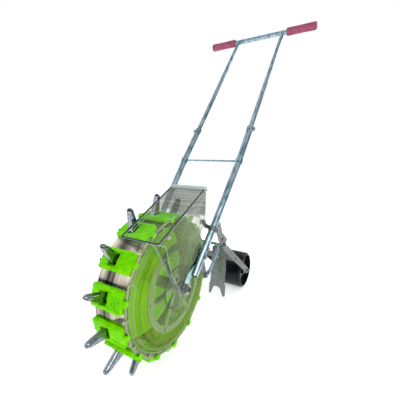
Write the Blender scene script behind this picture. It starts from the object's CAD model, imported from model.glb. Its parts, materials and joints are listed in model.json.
"""Looks of the walk-behind seed planter: finishes for its CAD nodes, the pieces made here, and the studio."""
import json
import math

import bpy
import bmesh
from mathutils import Matrix, Vector


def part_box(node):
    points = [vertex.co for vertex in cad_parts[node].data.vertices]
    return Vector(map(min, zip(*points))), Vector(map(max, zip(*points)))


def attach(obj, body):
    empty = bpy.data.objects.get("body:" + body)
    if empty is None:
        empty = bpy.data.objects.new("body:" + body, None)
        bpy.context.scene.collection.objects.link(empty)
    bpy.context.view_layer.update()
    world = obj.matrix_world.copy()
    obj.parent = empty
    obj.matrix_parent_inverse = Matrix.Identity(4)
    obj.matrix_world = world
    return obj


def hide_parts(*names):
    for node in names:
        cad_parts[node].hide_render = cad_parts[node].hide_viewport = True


bl_info = {
    "name": "Seed Planter Looks",
    "version": (1, 0, 0),
    "blender": (4, 5, 0),
    "location": "View3D > Sidebar > Planter",
    "description": "Finishes, springs, grips and studio of a walk-behind seed planter",
    "category": "Object",
}

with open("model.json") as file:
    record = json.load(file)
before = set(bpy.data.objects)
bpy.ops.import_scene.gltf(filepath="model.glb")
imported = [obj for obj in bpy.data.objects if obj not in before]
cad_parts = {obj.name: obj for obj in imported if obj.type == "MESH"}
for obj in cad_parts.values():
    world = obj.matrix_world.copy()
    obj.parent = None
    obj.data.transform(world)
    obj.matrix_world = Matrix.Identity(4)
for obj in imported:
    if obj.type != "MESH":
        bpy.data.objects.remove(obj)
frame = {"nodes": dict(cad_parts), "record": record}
NODES = frame["nodes"]
SLOTS = {row["node"]: row["material_slot"] for row in frame["record"]["subparts"]}
PLATES = {"frame": ("ties", "gussets"), "trailing_arm": ("roller_bar_near", "roller_bar_far", "cover_plate")}

# Sizes that the CAD holds too, in metres and degrees
BAND_R = 0.186
BILL_X = -0.0235
PIN_Y, PIN_Z = -0.009, 0.1909
SEAT_COUNT = 14
FIRST_SEAT = 0.5
GRIP_BORE = 0.01015
# Folds above these angles are edges of a piece: eased, left sharp in the shading, or beaded
EDGE_ANGLE = math.radians(35)
BEAD_ANGLE = math.radians(28)
MERGE_GAP = 1e-6
# Strips of a seat pocket's floor round the band's window: near and far end along X, front and back
POCKET_FLOOR = ((-0.037, -0.010, -0.018, -0.0115), (-0.037, -0.0302, -0.0115, 0.0035),
                (-0.0168, -0.010, -0.0115, 0.0035))
POCKET_FLOOR_LIFT, POCKET_FLOOR_T = 0.0006, 0.0004
# Beads on clear edges: node, body, radius, least distance from the axle, finish
BEADS = (("near_cover", "drum", 0.0002, 0.158, "clear_lip"), ("hopper_bin", "frame", 0.0006, 0.0, "clear_lip"))
# Nodes whose finish isn't the plain one of their slot
OWN_FINISH = {"hub": "hub_coat", "seat_screws": "green_plastic"}
# A grip's end wall, inner and outer end rounds, and the depth of its waist
GRIP_WALL, GRIP_INNER_ROUND, GRIP_OUTER_ROUND, GRIP_WAIST = 0.0018, 0.0045, 0.007, 0.0007
# The camera of the photograph: place, azimuth and pitch in degrees, lens and shift
CAMERA_AT = (0.4177, -0.5494, 0.3626)
CAMERA_AZIMUTH, CAMERA_PITCH = 30.67, 10.07
CAMERA_LENS_MM, CAMERA_SHIFT = 23.41, (0.0222, -0.0041)
FLOOR_HALF = 30.0


def linear(hex_colour, alpha=1.0):
    """sRGB hex to the linear colour that Blender's sockets hold; a colour that is linear already passes."""
    if not isinstance(hex_colour, str):
        return tuple(hex_colour)
    out = []
    for k in (1, 3, 5):
        c = int(hex_colour[k:k + 2], 16) / 255
        out.append(c / 12.92 if c <= 0.04045 else ((c + 0.055) / 1.055) ** 2.4)
    return (*out, alpha)


def add(tree, kind, links=(), stops=(), **settings):
    """Adds one node: settings name its properties or input sockets, links are (input, source socket)."""
    node = tree.nodes.new(kind)
    for name, value in settings.items():
        label = name.replace("_", " ")
        if hasattr(node, name):
            setattr(node, name, value)
        else:
            node.inputs[label if label in node.inputs else label.title()].default_value = value
    if stops:
        elements = node.color_ramp.elements
        while len(elements) < len(stops):
            elements.new(0.5)
        for element, (place, colour) in zip(elements, stops):
            element.position, element.color = place, colour
    for name, source in links:
        tree.links.new(source, node.inputs[name])
    return node


def new_material(name):
    """An empty node material with a Principled shader, and the Object coordinates its patterns read."""
    mat = bpy.data.materials.new(name)
    mat.use_nodes = True
    tree = mat.node_tree
    tree.nodes.clear()
    shader = add(tree, "ShaderNodeBsdfPrincipled")
    add(tree, "ShaderNodeOutputMaterial", [("Surface", shader.outputs[0])])
    return mat, tree, shader, add(tree, "ShaderNodeTexCoord").outputs["Object"]


def finish_from(tree, shader, source, colours, rough, bump_mm, strength):
    """Leads one pattern to a shader's colour, roughness and relief."""
    tone = add(tree, "ShaderNodeValToRGB", [("Fac", source)],
               [(0.32, linear(colours[0])), (0.68, linear(colours[1]))])
    gloss = add(tree, "ShaderNodeMapRange", [("Value", source)],
                From_Min=0.3, From_Max=0.7, To_Min=rough[0], To_Max=rough[1])
    relief = add(tree, "ShaderNodeBump", [("Height", source)], Strength=strength, Distance=bump_mm / 1000)
    for socket, value in (("Base Color", tone), ("Roughness", gloss), ("Normal", relief)):
        tree.links.new(value.outputs[0], shader.inputs[socket])


def radius_from_axle(tree, place):
    """Distance from the drum's axis, for patterns that run round it."""
    flat = add(tree, "ShaderNodeVectorMath", [(0, place)], operation="MULTIPLY")
    flat.inputs[1].default_value = (0, 1, 1)
    return add(tree, "ShaderNodeVectorMath", [(0, flat.outputs[0])], operation="LENGTH").outputs["Value"]


def metal(name, dark, light, rough, grain_mm, stretch=(1, 1, 1), bump_mm=0.01):
    """A metal whose tone and roughness wander over its grain."""
    mat, tree, shader, place = new_material(name)
    run = add(tree, "ShaderNodeMapping", [("Vector", place)], Scale=stretch).outputs[0]
    grain = add(tree, "ShaderNodeTexNoise", [("Vector", run)], Scale=1000 / grain_mm, Detail=3.0).outputs[0]
    shader.inputs["Metallic"].default_value = 1.0
    finish_from(tree, shader, grain, (dark, light), rough, bump_mm, 0.3)
    return mat


def plastic(name, dark, light, rough, grain_mm, bump_mm=0.02, strength=0.35, specular=0.5):
    """An opaque moulded plastic: a faint cloudy tone under a fine moulded grain."""
    mat, tree, shader, place = new_material(name)
    cloud = add(tree, "ShaderNodeTexNoise", [("Vector", place)], Scale=1000 / 18, Detail=2.0).outputs[0]
    grain = add(tree, "ShaderNodeTexNoise", [("Vector", place)], Scale=1000 / grain_mm, Detail=2.0).outputs[0]
    both = add(tree, "ShaderNodeMix", [("A", cloud), ("B", grain)], Factor=0.35).outputs[0]
    shader.inputs["IOR"].default_value = 1.5
    shader.inputs["Specular IOR Level"].default_value = specular
    finish_from(tree, shader, both, (dark, light), rough, bump_mm, strength)
    return mat


def clear_plastic(name, face, edge, alpha, edge_alpha, rough, rings=None, specular=0.5, front=None):
    """A clear moulded wall: it shows what is behind it, and gets denser where it is seen edge on.

    rings = (dark, light, alpha, metres from the axle) tints the stepped rings outside that radius.
    front = (y, y, share) thins the wall's tint towards the front, where it is clean and shows what is behind.
    """
    mat, tree, shader, place = new_material(name)
    rim = add(tree, "ShaderNodeLayerWeight", Blend=0.35).outputs["Facing"]
    flow = add(tree, "ShaderNodeTexNoise", [("Vector", place)], Scale=1000 / 26, Detail=2.0).outputs[0]
    finish_from(tree, shader, flow, (face, face), rough, 0.15, 0.2)
    tone = add(tree, "ShaderNodeValToRGB", [("Fac", rim)], [(0.0, linear(face)), (1.0, linear(edge))])
    body = add(tree, "ShaderNodeMapRange", [("Value", rim)], To_Min=alpha, To_Max=edge_alpha)
    tone, body = tone.outputs[0], body.outputs[0]
    if rings:
        dark, light, density, start = rings
        far = radius_from_axle(tree, place)
        outside = add(tree, "ShaderNodeMapRange", [("Value", far)],
                      From_Min=start - 0.002, From_Max=start + 0.002).outputs[0]
        lines = add(tree, "ShaderNodeTexNoise", [("W", far)], noise_dimensions="1D", Scale=150.0, Detail=2.0)
        tint = add(tree, "ShaderNodeValToRGB", [("Fac", lines.outputs[0])],
                   [(0.38, linear(dark)), (0.62, linear(light))]).outputs[0]
        tone = add(tree, "ShaderNodeMix", [(0, outside), (6, tone), (7, tint)], data_type="RGBA").outputs[2]
        body = add(tree, "ShaderNodeMix", [(0, outside), (2, body)], B=density).outputs[0]
    if front:
        y = add(tree, "ShaderNodeSeparateXYZ", [("Vector", place)]).outputs["Y"]
        share = add(tree, "ShaderNodeMapRange", [("Value", y)],
                    From_Min=front[0], From_Max=front[1], To_Min=front[2]).outputs[0]
        body = add(tree, "ShaderNodeMath", [(0, body), (1, share)], operation="MULTIPLY").outputs[0]
    tree.links.new(tone, shader.inputs["Base Color"])
    tree.links.new(body, shader.inputs["Alpha"])
    shader.inputs["IOR"].default_value = 1.49
    shader.inputs["Specular IOR Level"].default_value = specular
    return mat


def far_side_colour(mat, colour, limit_x):
    """Gives the part of a piece on the far side of a plane across X another colour."""
    tree = mat.node_tree
    place = add(tree, "ShaderNodeTexCoord").outputs["Object"]
    x = add(tree, "ShaderNodeSeparateXYZ", [("Vector", place)]).outputs["X"]
    far = add(tree, "ShaderNodeMapRange", [("Value", x)], From_Min=limit_x + 0.001, From_Max=limit_x).outputs[0]
    socket = tree.nodes["Principled BSDF"].inputs["Base Color"]
    tone = add(tree, "ShaderNodeMix", [(0, far), (6, socket.links[0].from_socket)], data_type="RGBA")
    tone.inputs[7].default_value = linear(colour)
    tree.links.new(tone.outputs[2], socket)


class PlanterFinishes(bpy.types.PropertyGroup):
    """Colours that a maker would change."""
    seat_colour: bpy.props.FloatVectorProperty(
        name="Seat colour", description="Main colour of the moulded seats", subtype="COLOR", size=4,
        min=0.0, max=1.0, default=linear("#90F400"))
    grip_colour: bpy.props.FloatVectorProperty(
        name="Grip colour", description="Colour of the foam grips", subtype="COLOR", size=4,
        min=0.0, max=1.0, default=linear("#B0567A"))


class PlanterSprings(bpy.types.PropertyGroup):
    """Sizes of the torsion springs on the flaps' pins."""
    coil_radius: bpy.props.FloatProperty(
        name="Coil radius", description="Radius of the coil's centre line", unit="LENGTH", default=0.0030)
    wire_radius: bpy.props.FloatProperty(
        name="Wire radius", description="Radius of the spring wire", unit="LENGTH", default=0.0005)
    turns: bpy.props.FloatProperty(
        name="Turns", description="Turns of each coil", default=4.0, min=1.0, max=8.0)


class PlanterStage(bpy.types.PropertyGroup):
    """Floor, light and camera."""
    floor_z: bpy.props.FloatProperty(
        name="Floor height", description="Height of the floor below the axle", unit="LENGTH", default=-0.2505)
    key_power: bpy.props.FloatProperty(
        name="Key power", description="Power of the key softbox in watts", default=26.0, min=0.0)
    sky_strength: bpy.props.FloatProperty(
        name="Surround strength", description="Strength of the pale surround", default=0.9, min=0.0)


FINISHES = {}


def make_finishes(colours):
    """One material for each material slot of the record, and one for the hub."""
    green, foam = tuple(colours.seat_colour), tuple(colours.grip_colour)
    f = FINISHES
    # Drawn steel tube, galvanised: bright, with soft streaks
    f["steel_tube"] = metal("Galvanised_drawn_tube", "#6D8E9C", "#BBD3DE", (0.12, 0.24), 9.0, (1.0, 0.25, 0.25))
    # Zinc-plated mild steel sheet: greyer and duller, with a cloudy tone
    f["zinc_plate"] = metal("Zinc_plated_sheet", "#6C706E", "#929693", (0.40, 0.56), 7.0, bump_mm=0.02)
    # Turned steel: fine bright rings round the bar
    f["axle_steel"] = metal("Turned_steel", "#77787A", "#A5A6A8", (0.22, 0.34), 1.2, (6.0, 1.0, 1.0))
    # Zinc-plated screws, bolts and nuts: pale, a little warmer than the sheet
    f["fasteners"] = metal("Zinc_plated_fasteners", "#8C8C86", "#C4C3BA", (0.28, 0.42), 2.0)
    # Black-oxide pins and springs: dark, with a dull shine
    f["pin_steel"] = metal("Black_oxide_steel", "#17171A", "#333336", (0.30, 0.44), 1.5)
    # Dark plated wire on the hopper's rim: a thin line, darker than the tubes
    f["rim_wire"] = metal("Dark_plated_wire", "#2A2F33", "#5A6468", (0.22, 0.34), 3.0)
    # Polished stainless band: a mirror whose rolling lines run round the drum
    f["band_steel"] = metal("Polished_stainless_band", "#04060C", "#CCC4B0", (0.05, 0.12), 21.0, (1.0, 0.05, 0.05))
    # Pressed stainless bills: bright but dark in their own shade, brushed along their length
    f["bill_steel"] = metal("Pressed_stainless_bills", "#62666C", "#B4BAC2", (0.12, 0.26), 3.0)
    # Polypropylene, moulded in one strong lime green: satin, nearly without reflections
    f["green_plastic"] = plastic("Moulded_green_seats", (0.13, 0.64, 0.0, 1), green, (0.38, 0.52), 0.8,
                                 specular=0.05)
    # Acetal, moulded, for the seed rollers: milky white and smooth
    f["white_plastic"] = plastic("Moulded_white_acetal", "#D8D8D2", "#EFEFEA", (0.35, 0.45), 0.8)
    # Nylon, turned, for the bushes: a warm cream
    f["bush_nylon"] = plastic("Turned_nylon", "#BBAA80", "#D6C79E", (0.35, 0.5), 0.6)
    # Pressed wool felt: black and quite matt
    f["felt"] = plastic("Pressed_felt", "#1C1C1E", "#2C2C2E", (0.85, 0.95), 0.5, 0.2, 0.8)
    # Glossy black polyethylene with a bluish shine
    f["roller_black"] = plastic("Moulded_black_roller", "#04070C", "#0B111A", (0.18, 0.32), 1.2, 0.03, specular=0.25)
    # Foam rubber, closed cells: matt and softly pitted
    f["grip_foam"] = plastic("Closed_cell_foam", (0.26, 0.045, 0.09, 1), foam, (0.75, 0.9), 1.1, 0.12, 0.6)
    # Clear polycarbonate, moulded: its stepped rings catch the lime green behind them
    f["clear_cover"] = clear_plastic("Clear_moulded_cover", "#ACD074", "#98B068", 0.14, 0.26, (0.06, 0.14),
                                   ("#4A9400", "#BCE428", 0.24, 0.120), 0.3)
    # The same, tinted lime: it glows where light comes through
    f["green_cover"] = clear_plastic("Green_tinted_cover", "#A6FF00", "#98F000", 0.94, 0.98, (0.35, 0.5),
                                     specular=0.05)
    f["green_cover"].node_tree.nodes["Principled BSDF"].inputs["Transmission Weight"].default_value = 0.5
    # Powder coat on the pressed hub: a soft grey green, and lime on the disc that lies on the far cover
    f["hub_coat"] = plastic("Powder_coated_hub", "#8AA470", "#A0B888", (0.4, 0.55), 0.7, specular=0.2)
    far_side_colour(f["hub_coat"], "#A6FF00", -0.04)
    # Clear styrene, moulded: clean in front, greyer behind, where its walls are scuffed by seed
    f["clear_hopper"] = clear_plastic("Clear_moulded_hopper", "#D6E4BA", "#A0B280", 0.045, 0.32, (0.04, 0.10),
                                    ("#84867A", "#AEB0A2", 0.56, 0.2075), 0.2, (-0.07, 0.05, 0.2))
    # The same, thick at edges and lips, where it gathers light and looks nearly white
    f["clear_lip"] = clear_plastic("Clear_moulded_lip", "#DCE6E2", "#AEB8B2", 0.75, 0.92, (0.08, 0.14))


def coat(obj, slot_name):
    """Gives a whole object one finish."""
    obj.data.materials.clear()
    obj.data.materials.append(FINISHES[slot_name])


class PLANTER_OT_finishes(bpy.types.Operator):
    """Give every CAD node the finish of its material slot"""
    bl_idname = "planter.finishes"
    bl_label = "Finishes"

    def execute(self, context):
        make_finishes(context.scene.planter_finishes)
        for node, slot in SLOTS.items():
            coat(NODES[node], OWN_FINISH.get(node, slot))
        return {"FINISHED"}


def merged(node):
    """A bmesh copy of a CAD node with its loose triangles joined; the node itself isn't changed."""
    bm = bmesh.new()
    bm.from_mesh(NODES[node].data)
    bmesh.ops.remove_doubles(bm, verts=bm.verts, dist=MERGE_GAP)
    return bm


def plain_mesh(bm, name):
    """Turns a bmesh into a mesh of that name, and frees it."""
    mesh = bpy.data.meshes.new(name)
    bm.to_mesh(mesh)
    bm.free()
    return mesh


def new_mesh(name, build):
    """A mesh from a function that fills a bmesh; its faces are turned outwards and shaded smooth across folds."""
    bm = bmesh.new()
    build(bm)
    bmesh.ops.remove_doubles(bm, verts=bm.verts, dist=MERGE_GAP)
    bmesh.ops.recalc_face_normals(bm, faces=bm.faces)
    for edge in bm.edges:
        edge.smooth = len(edge.link_faces) == 2 and edge.calc_face_angle(0.0) < EDGE_ANGLE
    for face in bm.faces:
        face.smooth = True
    return plain_mesh(bm, name)


def rounded_copy(node, width, top_only=False):
    """A merged copy of a CAD node's mesh with its sharp edges eased, as pressed, moulded or deburred ones are.

    top_only keeps the one solid at the top of the drum, turned upright.
    """
    bm = merged(node)
    if top_only:
        inside, todo = set(), [max(bm.verts, key=lambda v: v.co.z)]
        while todo:
            vert = todo.pop()
            if vert not in inside:
                inside.add(vert)
                todo.extend(edge.other_vert(vert) for edge in vert.link_edges)
        bmesh.ops.delete(bm, geom=[v for v in bm.verts if v not in inside], context="VERTS")
        upright = Matrix.Rotation(-math.radians(FIRST_SEAT), 3, "X")
        bmesh.ops.rotate(bm, verts=bm.verts, cent=(0, 0, 0), matrix=upright)
    bmesh.ops.dissolve_limit(bm, angle_limit=math.radians(0.5), verts=bm.verts, edges=bm.edges)
    sharp = [e for e in bm.edges if len(e.link_faces) == 2 and e.calc_face_angle(0.0) > EDGE_ANGLE]
    bmesh.ops.bevel(bm, geom=sharp, offset=width, segments=2, profile=0.5, affect="EDGES", clamp_overlap=True)
    bmesh.ops.triangulate(bm, faces=bm.faces)
    for face in bm.faces:
        face.smooth = True
    for edge in bm.edges:
        edge.smooth = edge.calc_face_angle(0.0) < math.radians(40)
    return plain_mesh(bm, node)


def new_piece(name, mesh, slot_name, body, *replaced):
    """Links a finished mesh as a piece that rides on a body and stands for CAD nodes."""
    mesh.name = name
    obj = bpy.data.objects.new(name, mesh)
    bpy.context.scene.collection.objects.link(obj)
    coat(obj, slot_name)
    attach(obj, body)
    if replaced:
        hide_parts(*replaced)
    return obj


def lathe(bm, profile, sides, axis_y=0.0, axis_z=0.0):
    """Turns (x, radius) points round a line along X; a radius of 0 closes a pole."""
    rings = []
    for x, r in profile:
        turn = range(sides) if r > 0 else range(1)
        rings.append([bm.verts.new((x, axis_y + r * math.cos(2 * math.pi * k / sides),
                                    axis_z + r * math.sin(2 * math.pi * k / sides))) for k in turn])
    for low, high in zip(rings, rings[1:]):
        for k in range(sides):
            quad = [low[k % len(low)], low[(k + 1) % len(low)], high[(k + 1) % len(high)], high[k % len(high)]]
            bm.faces.new(list(dict.fromkeys(quad)))


def sweep(bm, path, radius, sides=8):
    """A closed tube along a list of points."""
    rings, up = [], Vector((0.31, 0.47, 0.83))
    for k, point in enumerate(path):
        run = (path[min(k + 1, len(path) - 1)] - path[max(k - 1, 0)]).normalized()
        out = (up - run * up.dot(run)).normalized()
        up, across = out, run.cross(out)
        rings.append([bm.verts.new(point + radius * (math.cos(a) * out + math.sin(a) * across))
                      for a in (2 * math.pi * n / sides for n in range(sides))])
    for low, high in zip(rings, rings[1:]):
        for n in range(sides):
            bm.faces.new((low[n], low[(n + 1) % sides], high[(n + 1) % sides], high[n]))
    bm.faces.new(rings[0])
    bm.faces.new(rings[-1])


def ring_tree():
    """Geometry Nodes that copy a piece made at the top of the drum to each seat."""
    tree = bpy.data.node_groups.new("Copies_round_drum", "GeometryNodeTree")
    for name, kind, way in (("Piece", "NodeSocketGeometry", "INPUT"), ("Seats", "NodeSocketInt", "INPUT"),
                            ("First angle", "NodeSocketFloat", "INPUT"), ("Finish", "NodeSocketMaterial", "INPUT"),
                            ("Copies", "NodeSocketGeometry", "OUTPUT")):
        tree.interface.new_socket(name, in_out=way, socket_type=kind)
    given = add(tree, "NodeGroupInput")
    points = add(tree, "GeometryNodePoints", [("Count", given.outputs["Seats"])])
    step = add(tree, "ShaderNodeMath", [(1, given.outputs["Seats"])], operation="DIVIDE")
    step.inputs[0].default_value = 2 * math.pi
    angle = add(tree, "ShaderNodeMath", [(0, add(tree, "GeometryNodeInputIndex").outputs[0]), (1, step.outputs[0]),
                                         (2, given.outputs["First angle"])], operation="MULTIPLY_ADD")
    turn = add(tree, "ShaderNodeCombineXYZ", [("X", angle.outputs[0])])
    turned = add(tree, "FunctionNodeEulerToRotation", [(0, turn.outputs[0])])
    copies = add(tree, "GeometryNodeInstanceOnPoints", [
        ("Points", points.outputs[0]), ("Instance", given.outputs["Piece"]), ("Rotation", turned.outputs[0])])
    real = add(tree, "GeometryNodeRealizeInstances", [("Geometry", copies.outputs[0])])
    coated = add(tree, "GeometryNodeSetMaterial", [("Geometry", real.outputs[0]),
                                                   ("Material", given.outputs["Finish"])])
    add(tree, "NodeGroupOutput", [("Copies", coated.outputs[0])])
    return tree


def at_each_seat(mesh, slot_name):
    """The mesh of a piece copied to every seat by Geometry Nodes."""
    tree = bpy.data.node_groups.get("Copies_round_drum") or ring_tree()
    return grown(mesh, tree, {"Seats": SEAT_COUNT, "First angle": math.radians(FIRST_SEAT),
                              "Finish": FINISHES[slot_name]})


class PLANTER_OT_seats(bpy.types.Operator):
    """Mould the green seats, with the soft edges of a moulding, and set one at each bill"""
    bl_idname = "planter.seats"
    bl_label = "Seats"

    def execute(self, context):
        seat = rounded_copy("seats", 0.0006, True)
        bm = bmesh.new()
        bm.from_mesh(seat)
        for x0, x1, y0, y1 in POCKET_FLOOR:
            middle = Matrix.Translation(((x0 + x1) / 2, (y0 + y1) / 2, BAND_R + POCKET_FLOOR_LIFT))
            strip = Matrix.Diagonal((x1 - x0, y1 - y0, POCKET_FLOOR_T, 1.0))
            bmesh.ops.create_cube(bm, size=1.0, matrix=middle @ strip)
        bm.to_mesh(seat)
        bm.free()
        new_piece("moulded_seats", at_each_seat(seat, "green_plastic"), "green_plastic", "drum", "seats")
        return {"FINISHED"}


class PLANTER_OT_plates(bpy.types.Operator):
    """Ease the edges of the cut and pressed steel plates"""
    bl_idname = "planter.plates"
    bl_label = "Steel plates"

    def execute(self, context):
        for body, nodes in PLATES.items():
            for node in nodes:
                slot = SLOTS[node]
                new_piece("eased_" + node, rounded_copy(node, 0.0005), slot, body, node)
        return {"FINISHED"}


def edge_tree():
    """Geometry Nodes that lay a thin bead along the sharp edges of a clear moulding."""
    tree = bpy.data.node_groups.new("Beads_on_edges", "GeometryNodeTree")
    for name, kind, way in (("Moulding", "NodeSocketGeometry", "INPUT"), ("Bead radius", "NodeSocketFloat", "INPUT"),
                            ("Least radius", "NodeSocketFloat", "INPUT"), ("Finish", "NodeSocketMaterial", "INPUT"),
                            ("Beads", "NodeSocketGeometry", "OUTPUT")):
        tree.interface.new_socket(name, in_out=way, socket_type=kind)
    given = add(tree, "NodeGroupInput")
    fold = add(tree, "FunctionNodeCompare", [("A", add(tree, "GeometryNodeInputMeshEdgeAngle").outputs[0])],
               operation="GREATER_THAN", data_type="FLOAT", B=BEAD_ANGLE)
    far = radius_from_axle(tree, add(tree, "GeometryNodeInputPosition").outputs[0])
    outside = add(tree, "FunctionNodeCompare", [("A", far), ("B", given.outputs["Least radius"])],
                  operation="GREATER_THAN", data_type="FLOAT")
    chosen = add(tree, "FunctionNodeBooleanMath", [(0, fold.outputs[0]), (1, outside.outputs[0])], operation="AND")
    lines = add(tree, "GeometryNodeMeshToCurve", [("Mesh", given.outputs["Moulding"]),
                                                  ("Selection", chosen.outputs[0])])
    ring = add(tree, "GeometryNodeCurvePrimitiveCircle", [("Radius", given.outputs["Bead radius"])], Resolution=6)
    bead = add(tree, "GeometryNodeCurveToMesh", [("Curve", lines.outputs[0]), ("Profile Curve", ring.outputs[0])])
    bead.inputs["Fill Caps"].default_value = True
    real = add(tree, "GeometryNodeRealizeInstances", [("Geometry", bead.outputs[0])])
    coated = add(tree, "GeometryNodeSetMaterial", [("Geometry", real.outputs[0]),
                                                   ("Material", given.outputs["Finish"])])
    add(tree, "NodeGroupOutput", [("Beads", coated.outputs[0])])
    return tree


def grown(mesh, tree, values):
    """The plain mesh that a Geometry Nodes tree makes of another with the given inputs."""
    obj = bpy.data.objects.new("Source", mesh)
    bpy.context.scene.collection.objects.link(obj)
    grow = obj.modifiers.new("Grow", "NODES")
    grow.node_group = tree
    for item in tree.interface.items_tree:
        if item.in_out == "INPUT" and item.name in values:
            grow[item.identifier] = values[item.name]
    bpy.context.view_layer.update()
    whole = bpy.data.meshes.new_from_object(obj.evaluated_get(bpy.context.evaluated_depsgraph_get()))
    bpy.data.objects.remove(obj)
    return whole


class PLANTER_OT_edges(bpy.types.Operator):
    """Round the bright edges of the clear hopper and the ring steps of the near cover"""
    bl_idname = "planter.edges"
    bl_label = "Clear edges"

    def execute(self, context):
        tree = edge_tree()
        for node, body, bead, least, finish in BEADS:
            mesh = plain_mesh(merged(node), node)
            new_piece("edges_of_" + node, grown(mesh, tree, {
                "Bead radius": bead, "Least radius": least, "Finish": FINISHES[finish]}), finish, body)
        return {"FINISHED"}


class PLANTER_OT_springs(bpy.types.Operator):
    """Wind the torsion springs that close the flaps, two coils to a pin"""
    bl_idname = "planter.springs"
    bl_label = "Flap springs"

    def execute(self, context):
        s = context.scene.planter_springs

        def coils(bm):
            steps = int(s.turns * 14)
            for side in (-1, 1):
                path = []
                for k in range(steps + 1):
                    a = 2 * math.pi * s.turns * k / steps
                    x = BILL_X + side * (0.0012 + 0.0056 * k / steps)
                    path.append(Vector((x, PIN_Y + s.coil_radius * math.cos(a), PIN_Z + s.coil_radius * math.sin(a))))
                path.append(path[-1] + Vector((side * 0.0002, -0.0008, 0.0038)))
                sweep(bm, path, s.wire_radius, 6)

        new_piece("flap_coil_springs", at_each_seat(new_mesh("coils", coils), "pin_steel"), "pin_steel", "drum",
                  "flap_springs")
        return {"FINISHED"}


class PLANTER_OT_grips(bpy.types.Operator):
    """Turn the two foam grips, with rounded ends and the slight waist that hands leave"""
    bl_idname = "planter.grips"
    bl_label = "Grips"

    def execute(self, context):
        for name in ("grip_near", "grip_far"):
            low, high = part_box(name)
            r_out = (high[2] - low[2]) / 2
            mid_y, mid_z = (high[1] + low[1]) / 2, (high[2] + low[2]) / 2
            near = name.endswith("near")
            x_in, x_out = (low[0], high[0]) if near else (high[0], low[0])
            way = 1 if near else -1
            wall = x_out - way * GRIP_WALL
            soft, blunt = GRIP_INNER_ROUND, GRIP_OUTER_ROUND
            profile = [(wall, 0.0), (wall, GRIP_BORE), (x_in, GRIP_BORE), (x_in, r_out - soft)]
            for k in range(1, 9):
                a = math.pi / 2 * k / 8
                profile.append((x_in + way * soft * (1 - math.cos(a)), r_out - soft + soft * math.sin(a)))
            straight = abs(x_out - x_in) - soft - blunt
            for k in range(1, 20):
                u = k / 20
                waist = GRIP_WAIST * math.sin(math.pi * u) ** 2
                profile.append((x_in + way * (soft + straight * u), r_out - waist))
            for k in range(9):
                a = math.pi / 2 * k / 8
                profile.append((x_out - way * blunt * (1 - math.sin(a)), r_out - blunt + blunt * math.cos(a)))
            profile.append((x_out, 0.0))

            def turn(bm):
                lathe(bm, profile, 72, mid_y, mid_z)

            new_piece("foam_" + name, new_mesh(name, turn), "grip_foam", "handle", name)
        return {"FINISHED"}


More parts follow.
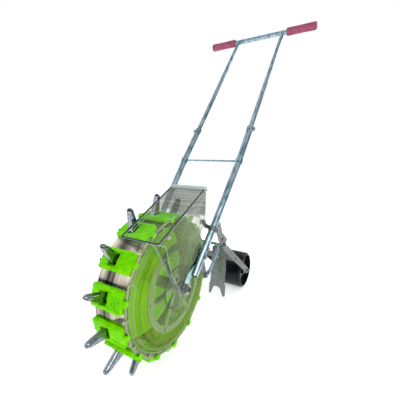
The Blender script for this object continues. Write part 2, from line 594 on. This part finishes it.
class PLANTER_OT_stage(bpy.types.Operator):
    """Make the floor, the lights and the camera"""
    bl_idname = "planter.stage"
    bl_label = "Stage"

    def execute(self, context):
        s = context.scene.planter_stage
        mesh = bpy.data.meshes.new("Floor")
        h, z = FLOOR_HALF, s.floor_z
        mesh.from_pydata([(-h, -h, z), (h, -h, z), (h, h, z), (-h, h, z)], [], [(0, 1, 2, 3)])
        floor = bpy.data.objects.new("Floor", mesh)
        context.scene.collection.objects.link(floor)
        mat, tree, shader, place = new_material("Pale_studio_floor")
        shader.inputs["Base Color"].default_value = linear("#F6F6F6")
        shader.inputs["Roughness"].default_value = 0.9
        shader.inputs["Emission Color"].default_value = (1, 1, 1, 1)
        shader.inputs["Emission Strength"].default_value = 0.5
        mesh.materials.append(mat)
        aim = Vector((0.0, 0.25, 0.25))
        for name, place, size, power in (
                ("Key", (1.6, -1.6, 2.2), 1.6, s.key_power), ("Fill", (-2.0, -1.2, 1.3), 2.0, s.key_power * 0.45),
                ("Back", (0.6, 2.6, 2.0), 1.6, s.key_power * 0.5)):
            data = bpy.data.lights.new(name, "AREA")
            data.energy, data.size = power, size
            lamp = bpy.data.objects.new(name, data)
            lamp.location = place
            lamp.rotation_euler = (aim - Vector(place)).to_track_quat("-Z", "Y").to_euler()
            context.scene.collection.objects.link(lamp)
        world = bpy.data.worlds.new("Pale_surround")
        world.use_nodes = True
        tree = world.node_tree
        tree.nodes.clear()
        place = add(tree, "ShaderNodeTexCoord").outputs["Generated"]
        up = add(tree, "ShaderNodeSeparateXYZ", [("Vector", place)]).outputs["Z"]
        sky = add(tree, "ShaderNodeValToRGB", [("Fac", up)], [
            (0.0, linear("#3E444B")), (0.10, linear("#5F6972")), (0.30, linear("#E9F0F8")),
            (1.0, linear("#FFFFFF"))]).outputs[0]
        round_it = add(tree, "ShaderNodeTexGradient", [("Vector", place)], gradient_type="RADIAL").outputs["Fac"]
        flags = add(tree, "ShaderNodeValToRGB", [("Fac", round_it)], [
            (0.0, (1, 1, 1, 1)), (0.06, (0.12, 0.12, 0.13, 1)), (0.20, (0.9, 0.9, 0.9, 1)),
            (0.36, (0.15, 0.15, 0.17, 1)), (0.5, (1, 1, 1, 1)), (0.62, (0.1, 0.1, 0.12, 1)),
            (0.74, (1, 1, 1, 1)), (0.86, (0.2, 0.2, 0.22, 1)), (0.95, (1, 1, 1, 1))]).outputs[0]
        sky = add(tree, "ShaderNodeMix", [(6, sky), (7, flags)], data_type="RGBA", blend_type="MULTIPLY",
                  Factor=0.7).outputs[2]
        back = add(tree, "ShaderNodeBackground", [("Color", sky)], Strength=s.sky_strength)
        white = add(tree, "ShaderNodeBackground", Color=(1, 1, 1, 1), Strength=1.0)
        ray = add(tree, "ShaderNodeLightPath").outputs["Is Camera Ray"]
        both = add(tree, "ShaderNodeMixShader", [(0, ray), (1, back.outputs[0]), (2, white.outputs[0])])
        add(tree, "ShaderNodeOutputWorld", [("Surface", both.outputs[0])])
        context.scene.world = world
        context.scene.view_settings.view_transform = "Standard"

        cam = bpy.data.cameras.new("Camera")
        cam.sensor_width = 36.0
        cam.lens = CAMERA_LENS_MM
        cam.shift_x, cam.shift_y = CAMERA_SHIFT
        cam.clip_start = 0.02
        eye = bpy.data.objects.new("Camera", cam)
        az, pitch = math.radians(CAMERA_AZIMUTH), math.radians(CAMERA_PITCH)
        look = Vector((-math.sin(az) * math.cos(pitch), math.cos(az) * math.cos(pitch), -math.sin(pitch)))
        eye.location = CAMERA_AT
        eye.rotation_euler = look.to_track_quat("-Z", "Y").to_euler()
        context.scene.collection.objects.link(eye)
        context.scene.camera = eye
        return {"FINISHED"}


class PLANTER_PT_panel(bpy.types.Panel):
    """The planter's looks in the sidebar"""
    bl_label = "Planter"
    bl_idname = "PLANTER_PT_panel"
    bl_space_type = "VIEW_3D"
    bl_region_type = "UI"
    bl_category = "Planter"

    def draw(self, context):
        for group in ("planter_finishes", "planter_springs", "planter_stage"):
            box = self.layout.box()
            settings = getattr(context.scene, group)
            for name in settings.__annotations__:
                box.prop(settings, name)
        for name in ORDER:
            self.layout.operator("planter." + name)


GROUPS = {"planter_finishes": PlanterFinishes, "planter_springs": PlanterSprings, "planter_stage": PlanterStage}
OPERATORS = (PLANTER_OT_finishes, PLANTER_OT_seats, PLANTER_OT_plates, PLANTER_OT_edges, PLANTER_OT_springs,
             PLANTER_OT_grips, PLANTER_OT_stage)
ORDER = [c.bl_idname.split(".")[1] for c in OPERATORS]


def register():
    for c in (*GROUPS.values(), *OPERATORS, PLANTER_PT_panel):
        bpy.utils.register_class(c)
    for name, group in GROUPS.items():
        setattr(bpy.types.Scene, name, bpy.props.PointerProperty(type=group))


def unregister():
    for name in GROUPS:
        delattr(bpy.types.Scene, name)
    for c in reversed((*GROUPS.values(), *OPERATORS, PLANTER_PT_panel)):
        bpy.utils.unregister_class(c)


def main():
    register()
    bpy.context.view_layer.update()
    for name in ORDER:
        getattr(bpy.ops.planter, name)()


if __name__ == "__main__":
    main()
